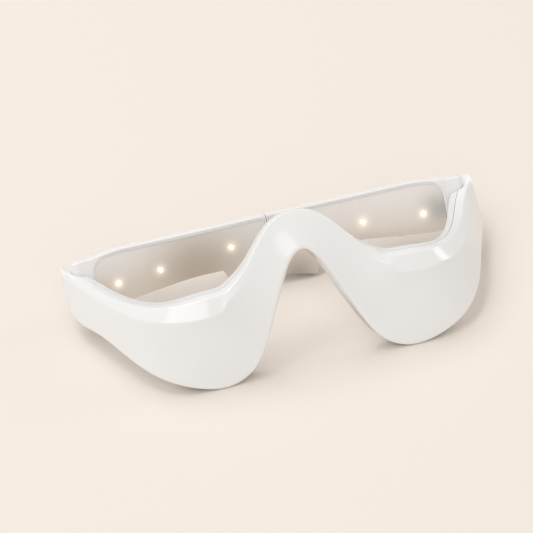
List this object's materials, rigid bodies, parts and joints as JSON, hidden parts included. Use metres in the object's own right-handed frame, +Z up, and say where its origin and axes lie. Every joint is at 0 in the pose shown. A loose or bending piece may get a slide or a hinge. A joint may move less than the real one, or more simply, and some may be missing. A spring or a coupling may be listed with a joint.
{
  "type": "eye contour massager",
  "caption": "Glossy wrap-around visor that lies under the eyes, with a nose arch, two lobes, folding arms with inner warm lights, and a power button.",
  "frame": {"origin": "middle of the footprint on the table, below the middle of the bounding box", "axes": "+X to the right seen from the front, +Y from the visor back towards the folded arms, +Z up"},
  "size_m": [0.1494, 0.066, 0.0485],
  "materials": {
    "gloss_white": "polished white plastic",
    "liner_grey": "smooth light grey soft-touch plastic",
    "panel_satin": "satin warm grey plastic",
    "warm_light": "clear dome lens over a warm white light",
    "plate_steel": "finely brushed",
    "bracket_steel": "brushed",
    "socket_steel": "plated",
    "flex_amber": "amber polyimide film",
    "board_green": "green circuit board",
    "cell_silver": "pouch foil and motor can",
    "dark_plastic": "moulded",
    "button_white": "polished white plastic",
    "indicator": "clear light pipe"
  },
  "bodies": {
    "front": {"front_cover": "gloss_white", "face_liner": "liner_grey", "front_flex": "flex_amber", "left_contact_plate": "plate_steel", "left_motor": "cell_silver", "left_hinge_bracket": "bracket_steel", "left_hinge_pin": "bracket_steel", "left_bracket_screw_1": "bracket_steel", "left_bracket_screw_2": "bracket_steel", "right_contact_plate": "plate_steel", "right_motor": "cell_silver", "right_hinge_bracket": "bracket_steel", "right_hinge_pin": "bracket_steel", "right_bracket_screw_1": "bracket_steel", "right_bracket_screw_2": "bracket_steel"},
    "left_arm": {"left_arm_shell": "gloss_white", "left_arm_panel": "panel_satin", "left_light_strip": "flex_amber", "left_light_1": "warm_light", "left_light_2": "warm_light", "left_light_3": "warm_light", "battery": "cell_silver"},
    "right_arm": {"right_arm_shell": "gloss_white", "right_arm_panel": "panel_satin", "right_light_strip": "flex_amber", "right_light_1": "warm_light", "right_light_2": "warm_light", "right_light_3": "warm_light", "control_board": "board_green", "button_switch": "dark_plastic", "indicator_lens": "indicator", "charging_socket": "socket_steel"},
    "power_button": {"power_button": "button_white"}
  },
  "joints": [
    {"name": "left_arm_hinge", "type": "hinge", "parent": "front", "child": "left_arm", "pos_m": [-0.0686, 0.02297, 0.0103], "axis": [0, 0.4258, 0.9048], "range_deg": [0, 90]},
    {"name": "right_arm_hinge", "type": "hinge", "parent": "front", "child": "right_arm", "pos_m": [0.0686, 0.02297, 0.0103], "axis": [0, -0.4258, -0.9048], "range_deg": [0, 90]},
    {"name": "power_button_press", "type": "slide", "parent": "right_arm", "child": "power_button", "axis": [0, -0.9048, 0.4258], "range_m": [0, 0.0008], "stiffness_N_per_m": 800}
  ]
}
